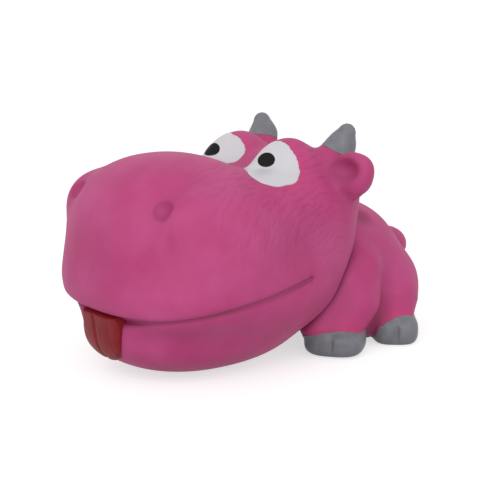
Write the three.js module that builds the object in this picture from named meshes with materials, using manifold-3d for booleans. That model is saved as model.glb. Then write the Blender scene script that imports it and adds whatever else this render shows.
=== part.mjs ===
// A squeaking rubber dog toy: a small horned and hoofed beast with a huge muzzle, cast as one hollow skin
// of soft latex and painted. It faces -Y, its left side is +X and it stands on z = 0.
import * as THREE from 'three';
import { mergeVertices } from 'three/addons/utils/BufferGeometryUtils.js';
import Module from 'manifold-3d';

const wasm = await Module();
wasm.setup();

// Driving dimensions, in millimetres and degrees. Every lump is a rounded block with half sizes across (X),
// deep (Y) and up (Z): squareness 2 is an ellipsoid and more is boxier. A blend width is that of the soft
// fillet that joins a lump to the ones before it.
const skinWall = 2;
const seamGap = 0.3;
const floorZ = 0;
const originY = 15.13;

const muzzle = { y: -22.3, z: 42.9, across: 40.8, deep: 30.8, up: 29.3, squareness: 2.2 };
const upperLip = { y: -20.8, z: 28.5, across: 38.2, deep: 32.5, up: 12.5, squareness: 2.6 };
const cheeks = { y: 21.2, z: 46.3, across: 32.4, deep: 23.3, up: 24.6, squareness: 2.2 };
const flanks = { y: -1.4, z: 31.1, across: 38.2, deep: 37.9, up: 24.3, squareness: 2.3 };
const faceBlend = 16;
const browMound = { x: 13.1, y: 16, z: 61.7, across: 11.7, deep: 11.6, up: 13.9, lean: -15, blendWidth: 5 };
const temple = { x: 19.5, y: 14, z: 53.5, across: 11, deep: 18, up: 12.5, blendWidth: 10 };
const nostrilBump = { x: 24, y: -38.5, z: 57.5, across: 8, deep: 6.8, up: 8, blendWidth: 13 };
const nostril = { across: 3.6, deep: 1.7, up: 3.7, outward: 1.2, above: 1.4, outside: 0.2 };
const headHeart = { y: -2, z: 41, across: 42, deep: 46, up: 36 };
const chin = { y: -15.2, z: 15.6, across: 30.1, deep: 35.9, up: 15.9, squareness: 2.05 };
const jowl = { flare: 9.1, blendWidth: 12 };

// The mouth line climbs back along the sides from the front of the lip to the corner of the mouth.
const mouth = {
  frontY: -56, frontZ: 21.6, length: 60, climb: 10.8, power: 0.7, jawSlope: 2.6, overhang: 1.4,
};

const horn = { x: 17.8, y: 30.6, z: 66.5, height: 10.6, sweep: 5, splay: 5.4 };
const hornRadius = { root: 5.6, middle: 4.3, tip: 2.8 };
const hornMound = { x: 21.3, y: 29.5, z: 58, height: 8, bottom: 8.5, top: 5.5, blendWidth: 10 };
const hornBend = { heightShare: 0.57, sweepShare: 0.5, splayShare: 0.52, blendWidth: 4 };
const earFlap = {
  x: 33.2, y: 28.4, z: 64.7, across: 6.8, deep: 4.3, up: 6.9, squareness: 2.5, yaw: 25, roll: 12,
};
const earRoot = { inward: 11.2, back: 0.8, drop: 3.7, inner: 6.5, outer: 4.6, blendWidth: 6 };
const earLobe = { starts: 1.7, drop: 7.2, back: 0.8, inward: 0.4, top: 4.2, bottom: 2.2, blendWidth: 6 };
const earHollow = { across: 5, deep: 3.4, up: 4.2, ahead: 6.6, inward: 1, above: 1.7, blendWidth: 7 };
const eyeBall = { x: 13.4, y: 8.9, z: 57.7, across: 5.6, deep: 11, up: 17, lean: -18, blendWidth: 3 };
const eyeWhite = { x: 13.7, y: 4.5, z: 68, across: 11.3, deep: 9.3, up: 8, lean: -18 };
const pupil = { x: 15.1, z: 69.3, across: 3, deep: 3, up: 2.7 };
const coat = 0.5;
const tongue = { thick: 1.5, across: 10.6, deep: 9, up: 8.2, tuck: 2, squareness: 4 };

const trunk = { y: 45.4, z: 27.6, across: 24.4, deep: 29.7, up: 23.4, squareness: 2.1, lean: -9 };
const nape = { y: 33, z: 36, across: 20, deep: 13, up: 16, blendWidth: 9 };
const tail = { z: 28.6, across: 5.6, deep: 6.2, up: 6.2, behind: 4.1 };
const frontLeg = { x: 24, kneeY: 38, kneeZ: 18, hip: 9, knee: 8.5, ankle: 7.5, blendWidth: 5 };
const frontHip = { x: 21, y: 42, z: 28 };
const haunch = { x: 15, y: 61.2, z: 17.5, across: 11.5, deep: 14.2, up: 14, squareness: 2.1 };
const rearLeg = { kneeX: 22, kneeY: 59, kneeZ: 14, knee: 9, ankle: 7.3, blendWidth: 8 };
const frontHoof = { x: 23.2, y: 30.6, z: 4.5, across: 10.4, deep: 9.8, up: 5, squareness: 3, yaw: 38 };
const rearHoof = { x: 25.7, y: 57.3, z: 4.5, across: 8.2, deep: 8.4, up: 5.5, squareness: 3, yaw: 50 };
const ankleZ = 8;
const ankleBack = 1;
const cleft = { wide: 1, deep: 1.6 };

// The squeaker is pushed into a collar in the belly, between the hind and front legs.
const squeaker = { y: 47, barrel: 5.6, bore: 3.9, height: 12.5, flange: 8, flangeThick: 1.2, neck: 5.2 };
const snapBead = { radius: 6.6, thick: 1.2 };
const collar = { radius: 10, thick: 3.8, proud: 0.8 };
const reed = { wide: 2.8, thick: 0.25, tucked: 0.6, free: 6.5 };
const reedSeat = { start: 1, length: 10, channel: 1.8, channelDeep: 1.1 };
const reedClamp = { length: 3.2 };

// How finely each form is divided. The head is the largest and smoothest piece, and hidden faces are coarse.
const rings = { head: 9, jaw: 7, trunk: 5, limb: 3, trim: 3, small: 2 };
const hiddenRings = { chamber: 4, legHollow: 1, cut: 6 };
const roundSides = 24;
const mouthSteps = 12;
const raySteps = 48;
const halvings = 26;
const nearlyNoShare = 1e-9;

// Painted and bare latex, and the squeaker's plastics.
function matt(color, roughness) {
  return new THREE.MeshStandardMaterial({ color, roughness, metalness: 0 });
}

const pinkLatex = () => matt(0xb94c7f, 0.62);
const greyPaint = () => matt(0x7b7d84, 0.55);
const whitePaint = () => matt(0xd6d5d9, 0.35);
const blackPaint = () => matt(0x222123, 0.25);
const redPaint = () => matt(0x862a33, 0.5);
const whitePlastic = () => matt(0xe4e2dc, 0.4);
const clearFilm = () => matt(0xc9d2d4, 0.2);

// Fields: each takes a point and gives its distance to a form, less than zero inside.
const radians = THREE.MathUtils.degToRad;

function lump(size) {
  const { x = 0, y = 0, z = 0, across, deep, up, squareness = 2, lean = 0, yaw = 0, roll = 0 } = size;
  const turn = new THREE.Euler(radians(lean), radians(roll), radians(yaw), 'ZXY');
  const m = new THREE.Matrix4().makeRotationFromEuler(turn).elements;
  return (px, py, pz) => {
    const dx = px - x;
    const dy = py - y;
    const dz = pz - z;
    const a = Math.abs(m[0] * dx + m[1] * dy + m[2] * dz) / across + nearlyNoShare;
    const b = Math.abs(m[4] * dx + m[5] * dy + m[6] * dz) / deep + nearlyNoShare;
    const c = Math.abs(m[8] * dx + m[9] * dy + m[10] * dz) / up + nearlyNoShare;
    const reach = (a ** squareness + b ** squareness + c ** squareness) ** (1 / squareness);
    const steepness = [[a, across], [b, deep], [c, up]].map(([share, half]) => {
      return (share / reach) ** (squareness - 1) / half;
    });
    return (reach - 1) / Math.hypot(...steepness);
  };
}

function limb(from, to, fromRadius, toRadius) {
  const way = to.clone().sub(from);
  const lengthSquared = way.lengthSq();
  return (px, py, pz) => {
    const dx = px - from.x;
    const dy = py - from.y;
    const dz = pz - from.z;
    const rawShare = (dx * way.x + dy * way.y + dz * way.z) / lengthSquared;
    const share = Math.min(Math.max(rawShare, 0), 1);
    const radius = fromRadius + (toRadius - fromRadius) * share;
    return Math.hypot(dx - way.x * share, dy - way.y * share, dz - way.z * share) - radius;
  };
}

function blend(first, second, width) {
  return (x, y, z) => {
    const a = first(x, y, z);
    const b = second(x, y, z);
    const share = Math.max(width - Math.abs(a - b), 0) / width;
    return Math.min(a, b) - share ** 3 * width / 6;
  };
}

function carve(first, second, width) {
  const negative = (field) => (x, y, z) => -field(x, y, z);
  return negative(blend(negative(first), second, width));
}

const bothSides = (field) => (x, y, z) => field(Math.abs(x), y, z);

// How far from a centre, along a ray, a field first reaches the wanted distance.
function rayLength(field, centre, ray, reach, offset) {
  const at = (length) => {
    return field(centre.x + ray.x * length, centre.y + ray.y * length, centre.z + ray.z * length) - offset;
  };
  let far = 0;
  let near = 0;
  for (let step = 1; step <= raySteps && at(far) < 0; step += 1) {
    near = far;
    far = reach * step / raySteps;
  }
  for (let halving = 0; halving < halvings; halving += 1) {
    const middle = (near + far) / 2;
    if (at(middle) < 0) near = middle;
    else far = middle;
  }
  return (near + far) / 2;
}

// Solids: a form round its centre is a fine icosahedron whose points are pushed out to the field.
function toSolid(geometry) {
  const plain = geometry.clone();
  plain.deleteAttribute('normal');
  plain.deleteAttribute('uv');
  const merged = mergeVertices(plain);
  return new wasm.Manifold(new wasm.Mesh({
    numProp: 3,
    vertProperties: new Float32Array(merged.getAttribute('position').array),
    triVerts: new Uint32Array(merged.getIndex().array),
  }));
}

function toGeometry(solid) {
  const mesh = solid.getMesh();
  const geometry = new THREE.BufferGeometry();
  geometry.setAttribute('position', new THREE.BufferAttribute(mesh.vertProperties, 3));
  geometry.setIndex(new THREE.BufferAttribute(mesh.triVerts, 1));
  geometry.computeVertexNormals();
  return geometry;
}

function formAround(field, centre, half, divisions, offset = 0) {
  const ball = new THREE.IcosahedronGeometry(1, divisions);
  ball.deleteAttribute('normal');
  ball.deleteAttribute('uv');
  const geometry = mergeVertices(ball);
  const points = geometry.getAttribute('position');
  const reach = 3 * Math.max(half.x, half.y, half.z);
  const ray = new THREE.Vector3();
  for (let i = 0; i < points.count; i += 1) {
    ray.fromBufferAttribute(points, i).multiply(half).normalize();
    ray.multiplyScalar(rayLength(field, centre, ray, reach, offset)).add(centre);
    points.setXYZ(i, ray.x, ray.y, ray.z);
  }
  return toSolid(geometry);
}

const centreOf = ({ x = 0, y = 0, z = 0 }) => new THREE.Vector3(x, y, z);
const halfOf = ({ across, deep, up }) => new THREE.Vector3(across, deep, up);

function placed(geometry, x, y, z) {
  return toSolid(geometry.translate(x, y, z));
}

function largest(solid) {
  const pieces = solid.decompose();
  return pieces.reduce((best, piece) => (piece.volume() > best.volume() ? piece : best));
}

function node(name, solid, material) {
  const mesh = new THREE.Mesh(toGeometry(largest(solid)), material);
  mesh.name = name;
  return mesh;
}

// The same place on the other side: side is 1 for the beast's left and -1 for its right.
function onSide(place, side) {
  const { x = 0, yaw = 0, roll = 0 } = place;
  return { ...place, x: x * side, yaw: yaw * side, roll: roll * side };
}

// The head: muzzle, upper lip, cheeks, flanks and temples melt together, with brows, horn mounds, nostrils
// and bulging eyes on top.
function hornPath(side = 1) {
  const x = (share) => side * (horn.x + horn.splay * share);
  const root = new THREE.Vector3(x(0), horn.y, horn.z);
  const bend = new THREE.Vector3(
    x(hornBend.splayShare),
    horn.y + horn.sweep * hornBend.sweepShare,
    horn.z + horn.height * hornBend.heightShare,
  );
  const tip = new THREE.Vector3(x(1), horn.y + horn.sweep, horn.z + horn.height);
  return { root, bend, tip };
}

function hornMoundField() {
  const foot = centreOf(hornMound);
  const top = foot.clone();
  top.z += hornMound.height;
  return limb(foot, top, hornMound.bottom, hornMound.top);
}

// The muzzle and cheeks alone. The lower jaw flares out to their shape at the mouth line, just inside it.
function faceField() {
  const melted = (field, size) => blend(field, lump(size), faceBlend);
  return [upperLip, cheeks, flanks].reduce(melted, lump(muzzle));
}

function jawField() {
  const face = faceField();
  const widthShare = upperLip.across / (chin.across + jowl.flare);
  const jowls = (x, y, z) => face(x * widthShare, y, z) + mouth.overhang;
  return bothSides(blend(lump(chin), jowls, jowl.blendWidth));
}

function headField() {
  let field = blend(faceField(), lump(temple), temple.blendWidth);
  field = blend(field, lump(browMound), browMound.blendWidth);
  field = blend(field, hornMoundField(), hornMound.blendWidth);
  field = blend(field, lump(nostrilBump), nostrilBump.blendWidth);
  return bothSides(blend(field, lump(eyeBall), eyeBall.blendWidth));
}

function headForm(offset, divisions = rings.head) {
  return formAround(headField(), centreOf(headHeart), halfOf(headHeart), divisions, offset);
}

function jawForm(offset, divisions = rings.jaw) {
  return formAround(jawField(), centreOf(chin), halfOf(chin), divisions, offset);
}

// Everything above the mouth line, as a block that runs past the head on both sides.
function aboveMouth(drop) {
  const past = 2 * cheeks.across;
  const front = mouth.frontY - past;
  const corner = mouth.frontY + mouth.length;
  const cornerZ = mouth.frontZ + mouth.climb - drop;
  const outline = new THREE.Shape();
  outline.moveTo(front, mouth.frontZ - drop);
  for (let step = 0; step <= mouthSteps; step += 1) {
    const share = (step / mouthSteps) ** 2;
    const height = mouth.frontZ - drop + mouth.climb * share ** mouth.power;
    outline.lineTo(mouth.frontY + mouth.length * share, height);
  }
  outline.lineTo(corner + (cornerZ + past) / mouth.jawSlope, -past);
  outline.lineTo(corner + past, -past);
  outline.lineTo(corner + past, past + cornerZ);
  outline.lineTo(front, past + cornerZ);
  const block = new THREE.ExtrudeGeometry(outline, { depth: 2 * past, bevelEnabled: false });
  block.rotateX(Math.PI / 2);
  block.rotateZ(Math.PI / 2);
  return placed(block, -past, 0, 0);
}

// A nostril is a shallow dimple in its bump. Its centre lies on the skin, found along a ray from behind.
function nostrilForm(side, offset) {
  const from = new THREE.Vector3(side * (nostrilBump.x + nostril.outward), 0, nostrilBump.z + nostril.above);
  const ahead = new THREE.Vector3(0, -1, 0);
  const y = -rayLength(headField(), from, ahead, 2 * muzzle.deep - muzzle.y, 0) + nostril.outside;
  const dimple = { ...nostril, x: from.x, y, z: from.z };
  return formAround(lump(dimple), centreOf(dimple), halfOf(dimple), rings.trim, offset);
}

function hornForm(side, offset) {
  const { root, bend, tip } = hornPath(side);
  const lower = limb(root, bend, hornRadius.root, hornRadius.middle);
  const upper = limb(bend, tip, hornRadius.middle, hornRadius.tip);
  const half = new THREE.Vector3(hornRadius.root, hornRadius.root, horn.height);
  return formAround(blend(lower, upper, hornBend.blendWidth), bend, half, rings.limb, offset);
}

function earForm(side) {
  const flap = onSide(earFlap, side);
  const top = centreOf(flap);
  const bottom = centreOf(flap);
  top.z -= earLobe.starts;
  bottom.x -= side * earLobe.inward;
  bottom.y += earLobe.back;
  bottom.z -= earLobe.drop;
  const root = centreOf(flap);
  root.x -= side * earRoot.inward;
  root.y += earRoot.back;
  root.z -= earRoot.drop;
  const whole = blend(
    blend(lump(flap), limb(centreOf(flap), root, earRoot.outer, earRoot.inner), earRoot.blendWidth),
    limb(top, bottom, earLobe.top, earLobe.bottom),
    earLobe.blendWidth,
  );
  const hollow = { ...earHollow, z: flap.z + earHollow.above };
  hollow.x = flap.x - side * earHollow.inward;
  hollow.y = flap.y - earHollow.ahead;
  const cupped = carve(whole, lump(hollow), earHollow.blendWidth);
  return formAround(cupped, centreOf(flap), halfOf(flap), rings.trim);
}

// The white of an eye and its pupil are raised coats, one on the other, that follow the head.
function eyeForm(side) {
  const patch = onSide(eyeWhite, side);
  return formAround(lump(patch), centreOf(patch), halfOf(patch), rings.small).intersect(whiteSkin);
}

function pupilForm(side) {
  const from = new THREE.Vector3(side * pupil.x, browMound.y, pupil.z);
  const ahead = new THREE.Vector3(0, -1, 0);
  const length = rayLength(headField(), from, ahead, 2 * browMound.up, 0);
  const disc = { ...pupil, x: from.x, y: from.y - length };
  const ball = formAround(lump(disc), centreOf(disc), halfOf(disc), rings.small);
  return ball.intersect(headForm(2 * (seamGap + coat))).subtract(headForm(2 * seamGap + coat));
}

// The tongue hangs over the chin as a thin coat that follows it.
function tongueForm() {
  const strip = { y: chin.y - chin.deep, z: mouth.frontZ - tongue.up + tongue.tuck, ...tongue };
  const patch = formAround(lump(strip), centreOf(strip), halfOf(strip), rings.limb);
  return patch.intersect(jawForm(seamGap + tongue.thick)).subtract(jawForm(seamGap));
}

// The trunk and the four legs.
function trunkField() {
  return bothSides(blend(lump(trunk), lump(nape), nape.blendWidth));
}

function trunkForm(offset, divisions = rings.trunk) {
  return formAround(trunkField(), centreOf(trunk), halfOf(trunk), divisions, offset);
}

function tailForm() {
  const stub = { ...tail, y: trunk.y + trunk.deep + tail.behind };
  return formAround(lump(stub), centreOf(stub), halfOf(stub), rings.small);
}

function frontLegForm(side, offset, divisions = rings.limb) {
  const hip = centreOf(onSide(frontHip, side));
  const knee = new THREE.Vector3(side * frontLeg.x, frontLeg.kneeY, frontLeg.kneeZ);
  const ankle = new THREE.Vector3(side * frontLeg.x, frontHoof.y + ankleBack, ankleZ);
  const thigh = limb(hip, knee, frontLeg.hip, frontLeg.knee);
  const shin = limb(knee, ankle, frontLeg.knee, frontLeg.ankle);
  const half = new THREE.Vector3(frontLeg.knee, frontLeg.knee, frontHip.z - frontLeg.kneeZ);
  return formAround(blend(thigh, shin, frontLeg.blendWidth), knee, half, divisions, offset);
}

function rearLegForm(side, offset, divisions = rings.limb) {
  const ham = onSide(haunch, side);
  const knee = new THREE.Vector3(side * rearLeg.kneeX, rearLeg.kneeY, rearLeg.kneeZ);
  const ankle = new THREE.Vector3(side * (rearHoof.x - ankleBack), rearHoof.y, ankleZ);
  const field = blend(lump(ham), limb(knee, ankle, rearLeg.knee, rearLeg.ankle), rearLeg.blendWidth);
  return formAround(field, knee, halfOf(ham), divisions, offset);
}

function belowFloor() {
  const size = 2 * trunk.deep + 2 * muzzle.across;
  const block = new THREE.BoxGeometry(4 * size, 4 * size, size);
  return placed(block, 0, 0, floorZ - size / 2);
}

function hoofForm(place, side, offset, divisions = rings.limb) {
  const hoof = onSide(place, side);
  return formAround(lump(hoof), centreOf(hoof), halfOf(hoof), divisions, offset);
}

// A cleft is a wedge cut down the front of a hoof.
function cleftForm(place, side) {
  const wedge = new THREE.Shape();
  wedge.moveTo(-cleft.wide, -place.deep - cleft.deep);
  wedge.lineTo(cleft.wide, -place.deep - cleft.deep);
  wedge.lineTo(0, -place.deep + cleft.deep);
  const block = new THREE.ExtrudeGeometry(wedge, { depth: 2 * place.up, bevelEnabled: false });
  block.rotateZ(radians(side * place.yaw));
  return placed(block, side * place.x, place.y, floorZ - place.up + place.z);
}

// The squeaker, from the outer face of its flange upward.
function round(profile) {
  const points = profile.map(([radius, z]) => new THREE.Vector2(radius, z));
  return new THREE.LatheGeometry(points, roundSides).rotateX(Math.PI / 2);
}

function roundBar(radius, length) {
  const bar = new THREE.CylinderGeometry(radius, radius, length, roundSides);
  return bar.rotateX(Math.PI / 2).translate(0, 0, length / 2);
}

function bellyZ() {
  const from = new THREE.Vector3(0, squeaker.y, trunk.z);
  return trunk.z - rayLength(trunkField(), from, new THREE.Vector3(0, 0, -1), 2 * trunk.up, 0);
}

const landZ = bellyZ() - collar.proud;
const flangeZ = landZ - seamGap - squeaker.flangeThick;
const holeRadius = squeaker.neck + seamGap;
const clampTopZ = reedSeat.start + reedClamp.length;

function housingGeometry() {
  const { bore, barrel, neck, flange, flangeThick, height } = squeaker;
  const grooveTop = flangeThick + collar.thick + 2 * seamGap;
  const beadTop = grooveTop + snapBead.thick;
  return round([
    [bore, 0], [flange, 0], [flange, flangeThick], [neck, flangeThick], [neck, grooveTop],
    [snapBead.radius, grooveTop], [barrel, beadTop], [barrel, height], [bore, height], [bore, 0],
  ]);
}

// Half of a round bar: side -1 is the seat's half, with the air channel in its flat, and 1 is the clamp's.
function halfBarGeometry(side, length, channel, channelDeep) {
  const radius = squeaker.bore - seamGap;
  const flat = side * (reed.thick / 2 + seamGap);
  const start = Math.asin(flat / radius);
  const outline = new THREE.Shape();
  outline.moveTo(radius * Math.cos(start), flat);
  outline.absarc(0, 0, radius, start, side * Math.PI - start, side < 0);
  if (channel > 0) {
    outline.lineTo(-channel / 2, flat);
    outline.lineTo(-channel / 2, flat + side * channelDeep);
    outline.lineTo(channel / 2, flat + side * channelDeep);
    outline.lineTo(channel / 2, flat);
  }
  const curveSegments = roundSides / 4;
  return new THREE.ExtrudeGeometry(outline, { depth: length, bevelEnabled: false, curveSegments });
}

function squeakerGroup() {
  const group = new THREE.Group();
  group.position.set(0, squeaker.y, flangeZ);
  const seat = halfBarGeometry(-1, reedSeat.length, reedSeat.channel, reedSeat.channelDeep);
  const clamp = halfBarGeometry(1, reedClamp.length, 0, 0);
  const strip = new THREE.BoxGeometry(reed.wide, reed.thick, reed.tucked + reed.free);
  seat.translate(0, 0, reedSeat.start);
  clamp.translate(0, 0, reedSeat.start);
  strip.translate(0, 0, clampTopZ + (reed.free - reed.tucked) / 2);
  group.add(node('squeaker_housing', toSolid(housingGeometry()), whitePlastic()));
  group.add(node('reed_seat', toSolid(seat), whitePlastic()));
  group.add(node('reed_clamp', toSolid(clamp), whitePlastic()));
  group.add(node('squeaker_reed', toSolid(strip), clearFilm()));
  return group;
}

// The air chamber is one hollow through head, trunk and legs, one skin wall inside their outer faces.
const sides = [['left', 1], ['right', -1]];
const headGrown = headForm(seamGap);
const whiteSkin = headForm(seamGap + coat);
const trunkGrown = trunkForm(seamGap);
const headHidden = headForm(2 * seamGap, hiddenRings.cut).add(jawForm(2 * seamGap, hiddenRings.cut));
const hornGrown = sides.map(([, side]) => hornForm(side, seamGap));
const underground = belowFloor();

function airChamber() {
  let chamber = headForm(-skinWall, hiddenRings.chamber).add(jawForm(-skinWall, hiddenRings.chamber));
  chamber = chamber.add(trunkForm(-skinWall, hiddenRings.chamber));
  for (const [, side] of sides) {
    chamber = chamber.subtract(nostrilForm(side, skinWall));
    chamber = chamber.add(legHollow(frontLegForm, frontHoof, side));
    chamber = chamber.add(legHollow(rearLegForm, rearHoof, side));
  }
  return chamber;
}

function legHollow(legForm, hoof, side) {
  const hollow = legForm(side, -skinWall, hiddenRings.legHollow);
  return hollow.subtract(hoofForm(hoof, side, seamGap + skinWall, hiddenRings.legHollow));
}

const chamber = airChamber();

function headGroup() {
  const group = new THREE.Group();
  const nostrils = nostrilForm(1, 0).add(nostrilForm(-1, 0));
  const headSkin = headForm(0).subtract(nostrils).intersect(aboveMouth(0)).subtract(chamber);
  const jawSkin = jawForm(0).subtract(aboveMouth(seamGap)).subtract(chamber).subtract(underground);
  const lipGrown = headGrown.intersect(aboveMouth(seamGap));
  group.add(node('head_skin', headSkin, pinkLatex()));
  group.add(node('lower_jaw', jawSkin, pinkLatex()));
  group.add(node('tongue', tongueForm().subtract(lipGrown), redPaint()));
  sides.forEach(([name, side], index) => {
    const ear = earForm(side).subtract(headGrown).subtract(hornGrown[index]);
    group.add(node(`${name}_horn`, hornForm(side, 0).subtract(headGrown), greyPaint()));
    group.add(node(`${name}_ear`, ear, pinkLatex()));
    group.add(node(`${name}_eye`, eyeForm(side).subtract(headGrown), whitePaint()));
    group.add(node(`${name}_pupil`, pupilForm(side), blackPaint()));
  });
  return group;
}

function trunkSkin() {
  const hole = placed(roundBar(holeRadius, 4 * collar.thick), 0, squeaker.y, landZ - collar.thick);
  const ring = placed(roundBar(collar.radius, collar.thick), 0, squeaker.y, landZ);
  const shell = trunkForm(0).subtract(chamber).add(ring);
  return shell.subtract(hole).subtract(headHidden);
}

function legNodes(legForm, hoof, label) {
  const nodes = [];
  for (const [name, side] of sides) {
    const taken = trunkGrown.add(headHidden).add(hoofForm(hoof, side, seamGap));
    const leg = legForm(side, 0).subtract(taken).subtract(chamber);
    const foot = hoofForm(hoof, side, 0).subtract(cleftForm(hoof, side)).subtract(underground);
    nodes.push(node(`${label}_${name}_leg`, leg, pinkLatex()));
    nodes.push(node(`${label}_${name}_hoof`, foot.subtract(headHidden), greyPaint()));
  }
  return nodes;
}

function trunkGroup() {
  const group = new THREE.Group();
  group.add(node('trunk_skin', trunkSkin(), pinkLatex()));
  group.add(node('tail', tailForm().subtract(trunkGrown), pinkLatex()));
  group.add(...legNodes(frontLegForm, frontHoof, 'front'));
  group.add(...legNodes(rearLegForm, rearHoof, 'rear'));
  group.add(squeakerGroup());
  return group;
}

const toy = new THREE.Group();
toy.name = 'dog_toy';
toy.add(headGroup(), trunkGroup());
toy.position.y = -originY;

export default toy;
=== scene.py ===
import math

import bpy
import numpy as np
import openvdb
from mathutils import Matrix, Vector, kdtree


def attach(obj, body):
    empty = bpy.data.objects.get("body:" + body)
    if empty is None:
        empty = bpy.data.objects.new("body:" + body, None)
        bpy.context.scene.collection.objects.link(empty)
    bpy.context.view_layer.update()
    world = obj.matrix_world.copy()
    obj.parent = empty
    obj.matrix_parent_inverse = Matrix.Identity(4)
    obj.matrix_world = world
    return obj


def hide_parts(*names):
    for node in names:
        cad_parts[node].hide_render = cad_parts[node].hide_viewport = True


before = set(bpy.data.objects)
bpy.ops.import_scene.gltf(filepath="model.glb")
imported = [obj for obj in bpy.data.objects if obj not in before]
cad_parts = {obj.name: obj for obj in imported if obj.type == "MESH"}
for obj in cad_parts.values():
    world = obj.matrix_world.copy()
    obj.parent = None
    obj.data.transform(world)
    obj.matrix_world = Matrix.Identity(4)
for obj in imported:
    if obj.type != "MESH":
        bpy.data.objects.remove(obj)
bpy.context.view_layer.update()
print("frame loaded")

# The toy is one hollow moulding of soft latex, so its skin is drawn as smooth fields that melt together.
# A field gives the distance from a point to a form in mm, less than zero inside. The beast faces -y, its
# left is +x, and every form that comes in pairs is written for the left. The fields measure y from a point
# ahead of the middle of the footprint, as the solids do.
middleY = 15.13
seed = 7
random = np.random.default_rng(seed)


def turned(lean=0, yaw=0, roll=0):
    return np.array(Matrix.Rotation(math.radians(yaw), 3, "Z") @ Matrix.Rotation(math.radians(lean), 3, "X")
                    @ Matrix.Rotation(math.radians(roll), 3, "Y"), np.float32)


def lump(sizes):
    # a rounded block: squareness 2 is an ellipsoid and more is boxier
    centre = np.array([sizes.get("x", 0), sizes["y"], sizes["z"]], np.float32)
    half = np.array([sizes["across"], sizes["deep"], sizes["up"]], np.float32)
    turn = turned(sizes.get("lean", 0), sizes.get("yaw", 0), sizes.get("roll", 0))
    power = sizes.get("squareness", 2)

    def field(p):
        share = np.abs((p - centre) @ turn) / half + 1e-5  # never quite zero, so that it can be divided by
        reach = (share ** power).sum(1) ** (1 / power)
        slope = np.sqrt((((share / reach[:, None]) ** (power - 1) / half) ** 2).sum(1))
        return (reach - 1) / slope
    return field


def limb(start, end, startRadius, endRadius):
    start, end = np.array(start, np.float32), np.array(end, np.float32)
    way = end - start

    def field(p):
        share = np.clip((p - start) @ way / (way @ way), 0, 1)
        away = p - start - share[:, None] * way
        return np.sqrt((away * away).sum(1)) - (startRadius + (endRadius - startRadius) * share)
    return field


def melt(first, second, width):
    # two forms with a soft fillet between them, cubic so that light runs over it without an edge
    share = np.maximum(width - np.abs(first - second), 0) / width
    return np.minimum(first, second) - share * share * share * width / 6


def trim(first, second, width):
    # what two forms share, with its edge rounded
    return -melt(-first, -second, width)


def ease(low, high, value):
    share = np.clip((value - low) / (high - low), 0, 1)
    return share * share * (3 - 2 * share)


def leftSide(p):
    # both sides are alike, so a field is asked only for the left
    q = np.array(p, np.float32)
    q[:, 0] = np.abs(q[:, 0])
    return q


# Head: muzzle, lip, cheeks and flanks melt together, and temples, sides, brows, nostrils, eyes, horns and
# ears are melted on or cut in.
head = {
    "muzzle": {"y": -22.3, "z": 42.9, "across": 40.8, "deep": 30.8, "up": 29.3, "squareness": 2.2},
    "upperLip": {"y": -20.8, "z": 28.5, "across": 38.2, "deep": 32.5, "up": 12.5, "squareness": 2.6},
    "cheeks": {"y": 21.2, "z": 46.3, "across": 32.4, "deep": 23.3, "up": 24.6, "squareness": 2.2},
    "flanks": {"y": -1.4, "z": 31.1, "across": 38.2, "deep": 37.9, "up": 24.3, "squareness": 2.3},
    "faceMelt": 16,
    "brow": {"x": 13.1, "y": 16, "z": 61.7, "across": 11.7, "deep": 11.6, "up": 13.9, "lean": -15},
    "browMelt": 5,
    "temple": {"x": 19.5, "y": 10, "z": 53, "across": 12, "deep": 23, "up": 12}, "templeMelt": 14,
    "side": {"x": 27, "y": -3.5, "z": 51, "across": 6.5, "deep": 13, "up": 9}, "sideMelt": 12,
    "moundLow": (21.3, 29.5, 58), "moundHigh": (21.3, 29.5, 66), "moundLowRadius": 8.5,
    "moundHighRadius": 5.5, "moundMelt": 10,  # the swelling that a horn stands on
    "bump": {"x": 29.9, "y": -32.6, "z": 54.6, "across": 3.5, "deep": 10.5, "up": 8.4}, "bumpMelt": 9.6,
    "nostril": {
        "x": 24.9, "y": -43.9, "z": 59.7, "across": 3.4, "deep": 2.9, "up": 3.6, "lean": -36, "yaw": 14},
    "nostrilRound": 1.5,
    "chin": {"y": -15.2, "z": 15.6, "across": 30.1, "deep": 35.9, "up": 15.9, "squareness": 2.2},
    "chinMelt": 12,
    # the net that the skin is drawn with: the width of its cells and its two far corners
    "cell": 0.45, "netLow": (-48.5, -58, -1), "netHigh": (48.5, 43, 82), "mostTriangles": 170000,
}
mouth = {
    "frontY": -56, "frontZ": 21.6, "length": 60, "climb": 10.8, "power": 0.7, "runs": (0.002, 1.6),
    "steepest": 0.8,
    "overhang": 1.4, "frontEnds": (-20, 6),  # where along the head the front's overhang dies away
    "gap": 0.3, "frontGap": 1.6, "frontHalf": 16, "cornerY": 6.5, "closing": 1,
    "deep": 2.4, "cornerDeep": 1.3, "deepEnds": (-30, 4), "lipsMelt": 0.4, "deepMelt": 0.5,
    "jawDrop": 1.6, "dropEnds": (9, 27), "lipRound": 3.2, "jawRound": 4.5,
    "dimple": {"x": 40.5, "y": 6.4, "z": 33.6, "across": 1.6, "deep": 1.4, "up": 2.2}, "dimpleRound": 3,
}
horn = {
    "root": (18, 31.2, 66.5), "bend": (21, 34, 72.5), "tip": (22.9, 34.8, 77.1),
    "rootRadius": 5, "bendRadius": 4.4, "tipRadius": 2.8, "bendMelt": 4, "melt": 6,
}
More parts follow.
